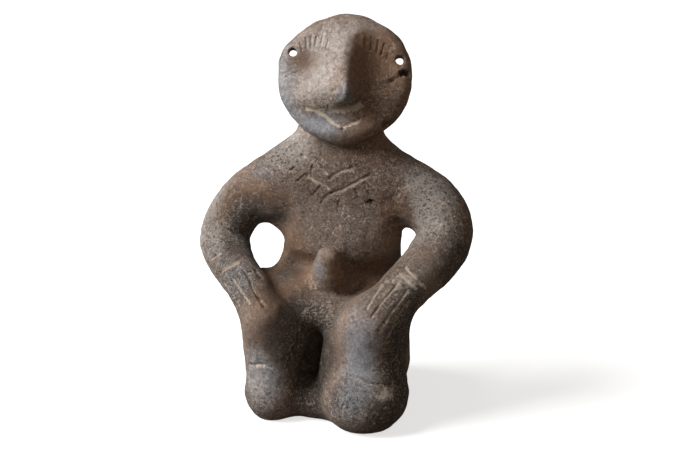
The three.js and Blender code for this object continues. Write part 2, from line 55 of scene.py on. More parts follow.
LOW, HIGH = (np.array(corner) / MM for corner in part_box(NODE))
print("the solid is", (HIGH - LOW).round(1), "mm")

# %% [markdown]
# ## Clay as a field
#
# A field is a number for every point in space: negative inside the clay, positive outside, and
# roughly the distance to the skin in millimetres. Two fields are joined by their smaller value.
# A soft minimum rounds the crease between them, just as a thumb smears clay into a joint.
# Every function here takes an array of points and gives an array of numbers.

# %% Soft joints and smooth curves
def soft_min(a, b, reach):
    """The smaller of a and b. Where they differ by less than reach, up to a quarter of it comes off."""
    near = np.clip(reach - np.abs(a - b), 0, None) / reach
    return np.minimum(a, b) - near * near * reach / 4


def soft_max(a, b, reach):
    """The larger of a and b, rounded in the same way."""
    return -soft_min(-a, -b, reach)


def smooth_line(keys, parts):
    """A Catmull-Rom curve: a cubic between each two keys, whose slope at a key joins its neighbours."""
    keys = np.asarray(keys, float)
    ends = np.vstack([2 * keys[0] - keys[1], keys, 2 * keys[-1] - keys[-2]])
    spans = len(keys) - 1
    p0, p1, p2, p3 = (ends[n:n + spans][:, None, :] for n in range(4))
    t = (np.arange(parts) / parts)[None, :, None]
    bend = (2 * p0 - 5 * p1 + 4 * p2 - p3) * t**2 + (3 * p1 - p0 - 3 * p2 + p3) * t**3
    curve = 0.5 * (2 * p1 + (p2 - p0) * t + bend)
    return np.vstack([curve.reshape(-1, keys.shape[1]), keys[-1:]])


def between(height, heights, values):
    """A smooth value at each height: a cubic through the stations with the slopes numpy gives them."""
    heights = np.asarray(heights, float)
    values = np.asarray(values, float)
    slopes = np.gradient(values, heights)
    height = np.clip(height, heights[0], heights[-1])
    i = np.clip(np.searchsorted(heights, height) - 1, 0, len(heights) - 2)
    span = heights[i + 1] - heights[i]
    t = (height - heights[i]) / span
    start = (2 * t**3 - 3 * t**2 + 1) * values[i] + (t**3 - 2 * t**2 + t) * span * slopes[i]
    end = (3 * t**2 - 2 * t**3) * values[i + 1] + (t**3 - t**2) * span * slopes[i + 1]
    return start + end


def fade(low, high, x):
    """0 below low, 1 above high, and a smooth S between them."""
    t = np.clip((x - low) / (high - low), 0, 1)
    return t * t * (3 - 2 * t)


# %% Rolls, balls and blocks of clay
def cone(p, a, b):
    """A straight roll from a to b: the distance to its middle line, less its radius there."""
    axis = b[:3] - a[:3]
    t = np.clip((p - a[:3]) @ axis / (axis @ axis), 0, 1)
    gap = np.linalg.norm(p - a[:3] - t[:, None] * axis, axis=1)
    return gap - (a[3] + (b[3] - a[3]) * t)


def roll(p, keys, parts=6):
    """A bent roll of clay: the smallest of many short straight rolls along a smooth line."""
    line = smooth_line(keys, parts)
    nearest = np.full(len(p), np.inf)
    for a, b in zip(line[:-1], line[1:]):
        nearest = np.minimum(nearest, cone(p, a, b))
    return nearest


def ball(p, centre, radii, turn=0.0):
    """An egg of clay: n (n - 1) over the slope of n, where n is 1 on its skin."""
    c, s = math.cos(math.radians(turn)), math.sin(math.radians(turn))
    d = p - np.array(centre, float)
    q = np.stack([d[:, 0] * c + d[:, 1] * s, d[:, 1] * c - d[:, 0] * s, d[:, 2]], 1) / radii
    n = np.linalg.norm(q, axis=1)
    return n * (n - 1) / (np.linalg.norm(q / radii, axis=1) + 1e-9)


def block(p, centre, half, rounding):
    """A block with round edges: the distance to a smaller sharp block, less the rounding."""
    q = np.abs(p - np.array(centre, float)) - (np.array(half, float) - rounding)
    return np.linalg.norm(np.maximum(q, 0), axis=1) + np.minimum(q.max(1), 0) - rounding


# %% [markdown]
# ## The body
#
# These are the same named sizes as in the solid's own source, in millimetres, with the figure
# facing -Y and the ground at height 0. The trunk is a squarish oval that changes with height.
# Arms, legs and the cone on the lap are rolls, feet and hips are balls, and the figure sits on
# a block of the same clay.

# %% Body sizes
RIGHT_ARM = [
    (-3, 6, 101, 12), (-16, 6, 100.5, 12), (-31.5, 5, 94, 11.6), (-45.7, 4, 83.3, 11.5),
    (-52.5, 0, 70.5, 10.9), (-48, -8, 61, 10.2), (-36.5, -22, 53.5, 9), (-27.6, -34, 45, 8),
]
LEFT_ARM = [
    (-3, 6, 101, 12), (10, 6, 99, 12), (24, 5, 93.6, 12), (36.6, 4, 87, 12.2),
    (42.6, 0, 76.7, 11.8), (39.6, -8, 67.4, 11.1), (28.8, -23, 56.7, 9.8), (20, -34, 46, 9.4),
]
RIGHT_THIGH = [(-16, 6, 36, 13), (-24, -24, 36, 12.5)]
LEFT_THIGH = [(8, 6, 38, 13), (16.6, -24, 39, 14)]
RIGHT_SHIN = [(-25.6, -28, 36, 10.6), (-25.2, -28, 24, 11), (-25, -28, 12, 11.2)]
LEFT_SHIN = [(17, -28, 40, 13.2), (17.2, -28, 26, 13.6), (17, -29, 16, 16)]
LAP_CONE = [(-4, -4, 53, 9.5), (-4, -12, 58, 8), (-3.2, -17.5, 67, 4.8)]
# Trunk stations: height, front face, back face, middle across and half width
TRUNK = np.array([
    (6, -6, 33, -3.6, 28), (22, -8, 35, -3.6, 28.2), (40, -9, 32, -3.4, 27.6),
    (54, -5.2, 26, -2.8, 25.8), (60, -4.8, 23.5, -2.9, 25.5), (67, -8.4, 22, -2.8, 25.8),
    (76, -9.2, 20.8, -2.5, 26), (92, -8, 19.6, -3, 28.4), (101, -7.6, 19, -3.3, 27),
    (109, -6.6, 18.4, -3.5, 22), (117, -5, 18, -3.6, 17.8), (126, -3, 18, -3, 16.8),
])
TRUNK_SQUARENESS = 2.5
# Feet: middle, half sizes and turn
RIGHT_FOOT = ((-24.7, -27, 9), (11.3, 13, 11.5), 0)
LEFT_FOOT = ((14.2, -32, 11.5), (16.8, 17.5, 13.5), 12)
# Balls of clay: middle and half sizes
ARMPITS = [((-32, 5, 85), (10, 9, 9)), ((25.5, 5, 91), (8, 9, 7))]
HIPS = [((-27, 0, 44), (10, 14, 9.5)), ((18, -2, 43), (11, 14, 10))]
BELLY = ((1.5, 1.5, 71.5), (15.5, 12.4, 12))
BELOW_THE_GAP = ((-33.5, -2, 50.6), (8, 9, 6.2))
ABOVE_THE_HIP = ((-28, 4, 58), (6.5, 9, 6.5))
BESIDE_THE_GAP = ((-28, 5, 75.5), (5, 7, 4))
LAP_LUMP = ((-3, -17, 43), (13, 8, 8))
WEB_OF_THE_FEET = ((-5, -21, 7), (21, 13, 9))
INSIDE_THE_LEFT_SHIN = ((5, -22, 20), (11, 13, 24))
RIGHT_LAP = ((-19, -11, 49.5), (10, 11, 8))
NAPE = ((-2, 8, 128), (14.6, 9, 16))
# The block under the seat: middle, half sizes and rounding
SEAT_BLOCK = ((-3.4, 4, 15), (27, 20, 22), 9)
# The gap inside the right arm, seen along its run: turn, tip, middle across and up, half sizes
GAP_TURN, GAP_TIP, GAP_BASE = math.radians(12), math.radians(15), 74.7
GAP_MIDDLE, GAP_HALF = (-32.8, -7), (5.9, 8.8)


# %% The body's field
def trunk(p):
    """A squarish oval at each height: |x|^n + |y|^n = 1 with n = 2.5, closed above and below."""
    heights = TRUNK[:, 0]
    front, back, middle, wide = (between(p[:, 2], heights, TRUNK[:, n]) for n in (1, 2, 3, 4))
    deep = (back - front) / 2
    x = np.abs(p[:, 0] - middle) / wide
    y = np.abs(p[:, 1] - (front + back) / 2) / deep
    n = TRUNK_SQUARENESS
    side = ((x**n + y**n) ** (1 / n) - 1) * np.minimum(wide, deep)
    return soft_max(side, np.maximum(heights[0] - p[:, 2], p[:, 2] - heights[-1]), 8)


def legs(p):
    """Each leg is a thigh and a shin smeared at the knee, with a ball of clay for the foot."""
    right = soft_min(roll(p, RIGHT_THIGH, 1), roll(p, RIGHT_SHIN, 3), 8)
    right = soft_min(right, ball(p, *RIGHT_FOOT), 4)
    left = soft_min(roll(p, LEFT_THIGH, 1), roll(p, LEFT_SHIN, 3), 8)
    left = soft_min(left, ball(p, *LEFT_FOOT), 5)
    return np.minimum(right, left)


def gap_air(p):
    """Negative inside the oval hole: n (n - 1) over the slope of n, in the plane across its run."""
    leftward = p[:, 0] * math.cos(GAP_TURN) + p[:, 1] * math.sin(GAP_TURN)
    backward = p[:, 1] * math.cos(GAP_TURN) - p[:, 0] * math.sin(GAP_TURN)
    upward = (p[:, 2] - GAP_BASE) * math.cos(GAP_TIP) + backward * math.sin(GAP_TIP)
    x, y = (leftward - GAP_MIDDLE[0]) / GAP_HALF[0], (upward - GAP_MIDDLE[1]) / GAP_HALF[1]
    n = np.hypot(x, y)
    return n * (n - 1) / (np.hypot(x / GAP_HALF[0], y / GAP_HALF[1]) + 1e-9)


def body(p):
    """Everything below the head, each piece smeared into the rest by its own reach."""
    d = soft_min(trunk(p), np.minimum(roll(p, RIGHT_ARM), roll(p, LEFT_ARM)), 8)
    d = soft_min(d, np.minimum(*(ball(p, *pit) for pit in ARMPITS)), 5)
    for lump, reach in ((BELLY, 6), (BELOW_THE_GAP, 5), (ABOVE_THE_HIP, 5), (BESIDE_THE_GAP, 4)):
        d = soft_min(d, ball(p, *lump), reach)
    d = soft_min(d, legs(p), 7)
    d = soft_min(d, np.minimum(*(ball(p, *hip) for hip in HIPS)), 7)
    d = soft_min(d, ball(p, *LAP_LUMP), 5)
    d = soft_min(d, roll(p, LAP_CONE, 3), 4)
    d = soft_min(d, block(p, *SEAT_BLOCK), 6)
    for lump, reach in ((WEB_OF_THE_FEET, 5), (INSIDE_THE_LEFT_SHIN, 6), (RIGHT_LAP, 6), (NAPE, 8)):
        d = soft_min(d, ball(p, *lump), reach)
    return soft_max(d, -gap_air(p), 4)


# %% [markdown]
# ## The head
#
# The head is a plate, like a mask set on the neck: a round outline that narrows to the chin, a
# smooth back, and the face as a relief on its front. The relief is a height for each place on
# the plate: a sharp nose, hollows pressed in for the eyes, cheeks and a chin pushed on. The
# plate has its own axes, sideways, back and up, turned and leaned as the photograph shows.

# %% Head sizes
HEAD_CENTRE = np.array([-0.6, 0.5, 139.0])
HEAD_TURN, HEAD_LEAN, HEAD_TIP = 11, 15, -1.5
SKULL_RADIUS, CHIN_RADIUS, CHIN_DROP = 28.3, 11.2, 18.6
HEIGHT_ABOVE_EYES, EYE_LINE = 26, 1.4
NOSE_HEIGHT, NOSE_ROOT, NOSE_SLANT = 11.2, 1.4, 0.06
EAR_HOLES = [(-20.6, 11.1), (23.2, 6.8)]
EAR_HOLE_RADIUS = 1.8
HOLES_STOP_BELOW = 40
# The plate between its rim and its middle: height at the rim, rise from there, and its power
PLATE_REACH = 26
FACE_RIM, FACE_RISE, FACE_POWER = 4, 5, 0.6
BACK_RIM, BACK_RISE, BACK_POWER = 3.6, 7, 0.7
# The nose is sharp below and rounder above: how round, how much more, and between which heights
CREST_SHARP, CREST_ROUND, CREST_CHANGE = 0.02, 0.25, (-3, 9)
# Clay pushed on or pressed in by a thumb: height, sideways, up, and its reach in both ways
THUMB_MARKS = [
    (1, 0, 18, 22, 8), (-2, -15, 6, 8, 8), (-4.6, 11.5, 4, 7.5, 11.5), (-1.5, 18, 4, 8, 8),
    (1.8, -13, -6, 7, 6), (0.8, 16, -11, 9, 7), (-1.2, 1, -16.5, 13, 3), (3.2, -3, -24, 13, 6.5),
]
# Nose stations: up, share of the nose's height, and its reach to either side
NOSE = np.array([
    (-40, 0, 6, 5), (-16, 0, 6.4, 6), (-13, 0.13, 6.4, 6), (-10.5, 0.74, 6.2, 5.5), (-7.5, 1, 5.8, 5),
    (0, 0.68, 4.8, 4.2), (7, 0.34, 4, 3.6), (13, 0.12, 3.8, 3.5), (19, 0.02, 4, 3.6), (40, 0, 4, 4),
])
# Flats on the crown: which side, how far out and how far up
CROWN_FLATS = [(1, 16, 24.7), (-1, 13.5, 23.8)]
CROWN_SLOPE = math.radians(30)


def turned(axis, degrees):
    """The matrix of a turn about one axis, by the right-hand rule."""
    c, s = math.cos(math.radians(degrees)), math.sin(math.radians(degrees))
    m = np.eye(3)
    i, j = (axis + 1) % 3, (axis + 2) % 3
    m[i, i], m[i, j], m[j, i], m[j, j] = c, -s, s, c
    return m


HEAD_AXES = turned(2, HEAD_TURN) @ turned(0, -HEAD_LEAN) @ turned(1, HEAD_TIP)


def on_head(p):
    """Points in the head's own axes: columns of sideways, back and up."""
    return (p - HEAD_CENTRE) @ HEAD_AXES


def from_head(q):
    """The way back from the head's own axes."""
    return q @ HEAD_AXES.T + HEAD_CENTRE


# %% The head's field
def head_outline(side, up):
    """The distance to an egg: two circles and the straight sides touching both, less two flats."""
    squash = np.where(up > EYE_LINE, SKULL_RADIUS / HEIGHT_ABOVE_EYES, 1)
    across = np.abs(side - 0.4)
    down = (EYE_LINE - up) * squash
    taper = (SKULL_RADIUS - CHIN_RADIUS) / CHIN_DROP
    run = math.sqrt(1 - taper * taper)
    along = down * run - across * taper
    egg = across * run + down * taper - SKULL_RADIUS
    egg = np.where(along < 0, np.hypot(across, down) - SKULL_RADIUS, egg)
    chin = np.hypot(across, down - CHIN_DROP) - CHIN_RADIUS
    egg = np.where(along > run * CHIN_DROP, chin, egg)
    flats = [
        (way * side - out) * math.sin(CROWN_SLOPE) + (up - high) * math.cos(CROWN_SLOPE)
        for way, out, high in CROWN_FLATS
    ]
    return soft_max(egg, np.maximum(*flats), 5)


def face_relief(side, up):
    """Height of the face over its plate: the nose's ridge and the thumb marks, each a soft bump."""
    off_crest = side - (NOSE_ROOT + NOSE_SLANT * up)
    share, right, left = (between(up, NOSE[:, 0], NOSE[:, n]) for n in (1, 2, 3))
    reach = np.where(off_crest < 0, right, left)
    crest = CREST_SHARP + CREST_ROUND * fade(*CREST_CHANGE, up)
    away = np.sqrt((off_crest / reach) ** 2 + crest) - np.sqrt(crest)
    height = NOSE_HEIGHT * share * np.exp(-1.2 * away**1.5)
    for push, at_side, at_up, wide, tall in THUMB_MARKS:
        height = height + push * np.exp(-(((side - at_side) / wide) ** 2) - ((up - at_up) / tall) ** 2)
    return height


def from_rim(outline):
    """0 on the plate's rim and 1 in its middle: 1 - r^2, where r is the share of the way out."""
    return np.clip(1 - np.clip(1 + outline / PLATE_REACH, 0, None) ** 2, 0, None)


def head(p):
    """The plate between the face in front and a smooth back, inside the outline."""
    side, back, up = on_head(p).T
    outline = head_outline(side, up)
    inward = from_rim(outline)
    front = -back - (FACE_RIM + FACE_RISE * inward**FACE_POWER) - face_relief(side, up)
    rear = back - (BACK_RIM + BACK_RISE * inward**BACK_POWER)
    return soft_max(soft_max(outline, front, 5), rear, 8)


def ear_holes(p):
    """Positive inside the two round holes, which run straight through the plate."""
    side, _, up = on_head(p).T
    holes = [EAR_HOLE_RADIUS - np.hypot(side - s, up - u) for s, u in EAR_HOLES]
    below_head = HEAD_CENTRE[2] - HOLES_STOP_BELOW - p[:, 2]
    return np.maximum(*holes) - np.clip(below_head, 0, None)


def clay(p):
    """The whole figure: head on body, ear holes out, and everything below the ground cut away."""
    d = soft_min(body(p), head(p), 2)
    d = soft_max(d, ear_holes(p), 0.8)
    return soft_max(d, -p[:, 2], 0.8)


# %% [markdown]
# ## From field to skin
#
# The skin is found on a grid with surface nets: each grid cell that the skin crosses gets one
# point, at the middle of the places where the skin crosses its edges, and cells round a crossed
# edge are joined by a face. To save time the field is first worked out on a coarse grid, and
# only blocks near the skin get the fine one. Then every point is pulled onto the skin along the
# field's slope.

# %% Sample the field
CELL = 1.0
COARSE = 4
MARGIN = 5.0
FIELD_LOW = np.array([-64.0, -50.0, 0.0]) - MARGIN
FIELD_HIGH = np.array([55.0, 36.0, 166.0]) + MARGIN


def sample_field():
    """The field on a grid: exact near the skin, and the block's middle value elsewhere."""
    blocks = np.ceil((FIELD_HIGH - FIELD_LOW) / (CELL * COARSE)).astype(int)
    centres = [FIELD_LOW[n] + CELL * (COARSE * np.arange(blocks[n]) + (COARSE - 1) / 2) for n in range(3)]
    points = np.stack(np.meshgrid(*centres, indexing="ij"), -1).reshape(-1, 3)
    rough = clay(points).reshape(blocks)
    field = rough.repeat(COARSE, 0).repeat(COARSE, 1).repeat(COARSE, 2)
    near = np.argwhere(np.abs(field) < CELL * COARSE * 1.4)
    field[tuple(near.T)] = clay(FIELD_LOW + CELL * near)
    return field


def fill_pinches(field):
    """Where skin would touch itself along a square's diagonal, one of its two empty corners is filled."""
    filled = 1
    while filled:
        filled = 0
        for axis in range(3):
            u, v = [n for n in range(3) if n != axis]
            size = [s - (n != axis) for n, s in enumerate(field.shape)]
            corners = []
            for du, dv in ((0, 0), (1, 1), (1, 0), (0, 1)):
                start = [0, 0, 0]
                start[u], start[v] = du, dv
                corners.append(field[tuple(slice(s, s + m) for s, m in zip(start, size))])
            one, one_far, other, other_far = corners
            crossed = (one < 0) & (one_far < 0) & (other >= 0) & (other_far >= 0)
            other[crossed] = -0.01
            filled += int(crossed.sum())
            crossed = (other < 0) & (other_far < 0) & (one >= 0) & (one_far >= 0)
            one[crossed] = -0.01
            filled += int(crossed.sum())
    return field


def surface_nets(field):
    """Points and four-sided faces of the skin, faces turned outwards."""
    inside = field < 0
    cells = tuple(s - 1 for s in field.shape)
    total = np.zeros(cells + (3,))
    count = np.zeros(cells)
    corners = [np.array([i, j, k]) for i in (0, 1) for j in (0, 1) for k in (0, 1)]

    def part(values, corner):
        return values[tuple(slice(c, c + n) for c, n in zip(corner, cells))]

    for axis in range(3):
        for a in (c for c in corners if c[axis] == 0):
            b = a + np.eye(3, dtype=int)[axis]
            va, vb = part(field, a), part(field, b)
            crossed = (va < 0) != (vb < 0)
            share = np.where(crossed, va / np.where(crossed, va - vb, 1), 0)
            total[..., axis] += crossed * share
            for other in range(3):
                if other != axis:
                    total[..., other] += crossed * a[other]
            count += crossed
    full = count > 0
    number = np.full(cells, -1)
    number[full] = np.arange(full.sum())
    points = FIELD_LOW + CELL * (np.argwhere(full) + total[full] / count[full][:, None])
    quads = []
    for axis in range(3):
        u, v = [n for n in range(3) if n != axis]
        ahead = np.take(inside, range(1, inside.shape[axis]), axis)
        here = np.take(inside, range(inside.shape[axis] - 1), axis)
        at = np.argwhere(here != ahead)
        step_u, step_v = np.eye(3, dtype=int)[u], np.eye(3, dtype=int)[v]
        ring = [number[tuple(q.T)] for q in (at - step_u - step_v, at - step_v, at, at - step_u)]
        quad = np.stack(ring, 1)
        outward = inside[tuple(at.T)] ^ (axis == 1)
        quad[~outward] = quad[~outward][:, ::-1]
        quads.append(quad)
    return points, np.concatenate(quads)


def slope(p, probe=0.05):
    """The field's slope by small differences, and the field itself."""
    here = clay(p)
    moves = np.eye(3) * probe
    return here, np.stack([(clay(p + move) - here) / probe for move in moves], 1)


def pull_onto_skin(p, passes=2):
    """Newton's step: back along the slope by the field over the slope squared."""
    for _ in range(passes):
        here, rise = slope(p)
        steep = np.maximum((rise**2).sum(1), 0.15)
        step = np.clip(here / steep, -0.6, 0.6)
        p = p - step[:, None] * rise
    return p


points, quads = surface_nets(fill_pinches(sample_field()))
points = pull_onto_skin(points, 3)
print(len(points), "points and", len(quads), "faces in the plain skin")

# %% [markdown]
# ## Carved lines, cracks and pits
#
# The maker drew with a pointed stick in leather-hard clay: a V on the chest, a mouth, lashes over
# the eyes, fingers and bracelets. The cracks came later. Each line is a smooth curve through a
# few key points laid on the skin. Lines on the face are given sideways and up on the head, and
# lines on the body as places in space.

# %% Lines on the face
MOUTH = [
    (-17, -12.2), (-12.5, -13.1), (-8.9, -15), (-5.8, -17.7), (-4.1, -18.9),
    (-1.3, -20.1), (1.6, -19.5), (5.5, -17.8), (7.3, -16.4),
]
UNDER_NOSE = [(-7.1, -11.8), (-3.5, -13), (0.5, -13.2), (3.3, -12.8), (5.7, -12.4), (7.7, -10.5)]
RIGHT_LASHES = [
    [(-17.6, 15.2), (-16.6, 11.2)], [(-15, 17.2), (-14.8, 12)], [(-12.8, 17.6), (-13.2, 12.6)],
    [(-10.6, 17.4), (-11.4, 12.8)], [(-8, 17), (-9.4, 12)], [(-5.6, 15.8), (-7.2, 10.6)],
]
LEFT_LASHES = [
    [(9.4, 16.6), (9, 11)], [(11.8, 16.8), (11.4, 10.6)], [(14.6, 15.6), (13.6, 9.4)],
    [(17.2, 14), (15.4, 8.6)], [(19.6, 12.6), (17.8, 7.2)],
]
JOIN_LINE = [(-25.5, 0), (-21.8, 1.8), (-18.8, 2.5), (-15.5, 2)]
FACE_CRACK = [(14.2, -3), (16.6, -2.2), (19.9, -1.5), (22.4, 0.1), (23.9, 1.2)]
EDGE_SLOT = [(22.8, 0.7), (24.5, 1.5), (26, 1.3), (29, 0.9)]

# %% Lines on the chest, hands and feet
CHEST_V = [
    [(-18, -8, 109.2), (-13.5, -8, 106), (-9.5, -8, 103.4), (-4.7, -8, 99.9)],
    [(-5.2, -8, 98.2), (-2.6, -8, 100.4), (0.7, -8, 102.3), (4, -8, 103.1), (5.3, -8, 105.2)],
    [(-15, -8, 100.2), (-12.5, -8, 98.2), (-9.4, -8, 97.1), (-6.5, -8, 95.5), (-4.9, -8, 93.4)],
    [(-8.8, -8, 87.9), (-5.4, -8, 91.6), (-0.2, -8, 94), (5.4, -8, 97), (13.6, -8, 101.8)],
]
CHEST_HATCHES = [
    [(-14.2, -8, 100.7), (-19, -8, 96.5)], [(-19.9, -8, 102.8), (-22.1, -8, 101.4)],
    [(-8.2, -8, 95.9), (-12.3, -8, 90.8)], [(-4.9, -8, 92.6), (-8.4, -8, 87.5)],
    [(-11.6, -8, 105), (-12.5, -8, 100.8), (-12, -8, 97.8)], [(5.8, -8, 95.3), (7.8, -8, 91)],
    [(9.2, -8, 98), (12.5, -8, 92.1)], [(-1, -8, 89.6), (-1.2, -8, 85.8)],
]
RIGHT_BRACELETS = [
    [(-55.2, -15, 62.3), (-52.6, -16.4, 64.5), (-49.4, -16.7, 66.5)],
    [(-50, -20.8, 57.7), (-46.8, -22.5, 61), (-43.3, -22.8, 63), (-40, -21.8, 64.2)],
]
LEFT_BRACELETS = [
    [(29.4, -24.3, 67.9), (34.4, -28.1, 63.8), (39.4, -25.6, 58.5)],
    [(27.7, -27.2, 65.6), (31, -29.9, 63.3), (35.9, -29.4, 59.2)],
]
RIGHT_FINGERS = [
    [(-48.2, -22.6, 55.7), (-42, -30, 52.5), (-36.2, -36, 48.9)],
    [(-42.7, -26.5, 59.3), (-37, -32, 55.2), (-31.3, -38.3, 51.2)],
    [(-37.9, -24.6, 62.5), (-34.4, -28.8, 59.6), (-31, -33.2, 56), (-24.8, -39.3, 50.3)],
    [(-33.8, -22.8, 62.2), (-29.4, -26.9, 58.5)],
]
LEFT_FINGERS = [
    [(24.1, -29.2, 63.1), (20.7, -32.8, 59.3), (19.2, -35.5, 57.1), (17, -40.6, 52.7)],
    [(28.5, -30.6, 62.9), (25.8, -34.3, 59.3), (23.2, -37.7, 55.9), (19.4, -42.8, 50.2)],
    [(32.6, -31.3, 60.5), (30, -35, 56.3), (27.7, -37.9, 53.3), (22.3, -43.6, 45.4)],
    [(34.2, -31.5, 56.4), (30.9, -35.6, 52.5), (28.7, -38.9, 48.4), (25.2, -41.8, 40.7)],
]
ANKLES = [
    [(8.6, -39.8, 25.8), (15.5, -43.4, 24.3), (20.5, -43.5, 23), (27.2, -40.3, 21.5), (31.7, -33.5, 19.2)],
    [(-33.2, -33.3, 23.8), (-26.6, -38.2, 26), (-22.4, -38, 24.6)],
]
# The soft crease between the left arm and the chest
FOLD = [(24, -7, 99), (22, -8, 92), (22.5, -7, 84), (23.5, -5, 77)]
# Small round holes pricked or broken out: a place on the skin, its radius and depth
PITS = [
    ((12.4, -8, 89.4), 1.0, 2.2), ((23.2, -30.7, 61.8), 0.9, 1.0), ((-27, -38, 27), 2.2, 0.3),
    ((3, -20, 137), 0.7, 0.3), ((-38, -5, 80), 0.8, 0.5), ((44, -11, 81), 1.4, 0.25),
]
FACE_PITS = [
    ((-0.9, -20.9), 0.7, 1.0), ((18, -20.5), 2.2, 1.3), ((5.1, 17.2), 1.0, -0.4), ((8.5, 16), 0.9, -0.3),
]


# %% Lay the lines on the skin
def on_face(keys, parts=4):
    """A smooth line on the face: its place on the relief's height, then pulled onto the skin."""
    side, up = smooth_line(keys, parts).T
    inward = from_rim(head_outline(side, up))
    back = -(FACE_RIM + FACE_RISE * inward**FACE_POWER) - face_relief(side, up)
    return pull_onto_skin(from_head(np.stack([side, back, up], 1)), 3)


def on_body(keys, parts=4):
    """A smooth line in space, pulled onto the skin."""
    return pull_onto_skin(smooth_line(keys, parts), 6)


# Each carved line: its points, its width, its depth and how much pale deposit is left in it
CARVING = [(on_face(MOUTH), 1.5, 0.8, 0.72), (on_face(UNDER_NOSE), 3.0, 0.45, 0.8)]
CARVING += [(on_face(line), 0.9, 0.5, 0.25) for line in RIGHT_LASHES]
CARVING += [(on_face(line), 0.9, 0.5, 0.1) for line in LEFT_LASHES]
CARVING += [(on_face(JOIN_LINE), 0.8, 0.25, 0.3), (on_face(FACE_CRACK), 1.7, 1.3, 0.0)]
CARVING += [(on_face(EDGE_SLOT), 2.2, 4.0, 0.0)]
CARVING += [(on_body(line), 1.4, 0.9, 0.45) for line in CHEST_V]
CARVING += [(on_body(line), 1.1, 0.8, 0.25) for line in CHEST_HATCHES]
CARVING += [(on_body(line), 1.1, 0.8, 0.66) for line in RIGHT_BRACELETS + LEFT_BRACELETS]
CARVING += [(on_body(line), 1.15, 0.9, 0.62) for line in RIGHT_FINGERS[:2] + LEFT_FINGERS]
CARVING += [(on_body(line), 1.3, 1.3, 0.4) for line in RIGHT_FINGERS[2:]]
CARVING += [(on_body(line), 1.7, 0.7, 0.33) for line in ANKLES]
CARVING += [(on_body(FOLD), 7.0, 0.9, 0.0)]
print(len(CARVING), "carved lines")


def distance_to_line(p, line):
    """The least distance to a chain of straight pieces, and how far along it that is, from 0 to 1."""
    start, step = line[:-1], np.diff(line, axis=0)
    length = np.linalg.norm(step, axis=1)
    away = p[:, None, :] - start[None]
    share = np.clip((away * step).sum(2) / length**2, 0, 1)
    gap = np.linalg.norm(away - share[..., None] * step, axis=2)
    nearest = gap.argmin(1)
    before = np.concatenate([[0], np.cumsum(length)[:-1]])
    rows = np.arange(len(p))
    along = before[nearest] + share[rows, nearest] * length[nearest]
    return gap[rows, nearest], along / length.sum()


def near_line(p, line, reach):
    """The points inside the line's box, widened by reach."""
    return np.flatnonzero(((p > line.min(0) - reach) & (p < line.max(0) + reach)).all(1))


# %% [markdown]
# ## Finer faces where the carving is
#
# A line a millimetre wide needs faces of a third of that, but the plain skin doesn't. So edges
# that are longer than the carving near them allows are cut in half, a few times over. Each
# triangle is rebuilt from its cut edges, so no gap opens between fine and plain skin.

# %% Cut the long edges
PLAIN_EDGE, FINE_EDGE, FINE_REACH = 1.9, 0.42, 1.2


def wanted_length(p):
    """The longest edge allowed at each point: short beside a line, growing away from it."""
    away = np.full(len(p), 9.0)
    for line, width, _, _ in CARVING:
        some = near_line(p, line, FINE_REACH + 1.5)
        if len(some):
            away[some] = np.minimum(away[some], distance_to_line(p[some], line)[0] - width / 2)
    side, _, up = on_head(p).T
    for s, u in EAR_HOLES:
        hole = np.abs(np.hypot(side - s, up - u) - EAR_HOLE_RADIUS)
        away = np.where(p[:, 2] > 120, np.minimum(away, hole), away)
    return FINE_EDGE + (PLAIN_EDGE - FINE_EDGE) * fade(FINE_REACH * 0.5, FINE_REACH * 2, away)


def cut_edges(p, triangles):
    """One round: every too long edge gets a point at its middle, and its triangles are rebuilt."""
    pairs = np.sort(triangles[:, [[0, 1], [1, 2], [2, 0]]], axis=2).reshape(-1, 2)
    keys, edge = np.unique(pairs[:, 0] * len(p) + pairs[:, 1], return_inverse=True)
    a, b = keys // len(p), keys % len(p)
    middle = (p[a] + p[b]) / 2
    cut = np.linalg.norm(p[a] - p[b], axis=1) > wanted_length(middle)
    number = np.full(len(keys), -1)
    number[cut] = len(p) + np.arange(cut.sum())
    halfway = number[edge].reshape(-1, 3)
    count = (halfway >= 0).sum(1)
    p = np.vstack([p, pull_onto_skin(middle[cut], 1)])
    out = [triangles[count == 0]]

    def turned_to(rows, first):
        order = (first[:, None] + np.arange(3)) % 3
        t = np.take_along_axis(triangles[rows], order, 1).T
        m = np.take_along_axis(halfway[rows], order, 1).T
        return t, m

    rows = np.flatnonzero(count == 1)
    t, m = turned_to(rows, (halfway[rows] >= 0).argmax(1))
    out += [np.stack([t[0], m[0], t[2]], 1), np.stack([m[0], t[1], t[2]], 1)]
    rows = np.flatnonzero(count == 2)
    t, m = turned_to(rows, (halfway[rows] < 0).argmax(1) + 1)
    out.append(np.stack([m[0], t[1], m[1]], 1))
    first = np.linalg.norm(p[t[0]] - p[m[1]], axis=1) < np.linalg.norm(p[m[0]] - p[t[2]], axis=1)
    out.append(np.stack([t[0], m[0], np.where(first, m[1], t[2])], 1))
    out.append(np.stack([np.where(first, t[0], m[0]), m[1], t[2]], 1))
    rows = np.flatnonzero(count == 3)
    t, m = turned_to(rows, np.zeros(len(rows), int))
    for corner in ((t[0], m[0], m[2]), (m[0], t[1], m[1]), (m[2], m[1], t[2]), (m[0], m[1], m[2])):
        out.append(np.stack(corner, 1))
    return p, np.concatenate(out), int(cut.sum())


def halves(p, quads):
    """Each four-sided face becomes two triangles, cut along its shorter diagonal."""
    a, b, c, d = quads.T
    short = np.linalg.norm(p[a] - p[c], axis=1) < np.linalg.norm(p[b] - p[d], axis=1)
    one = np.stack([a, b, np.where(short, c, d)], 1)
    two = np.stack([np.where(short, a, b), c, d], 1)
    return np.vstack([one, two])


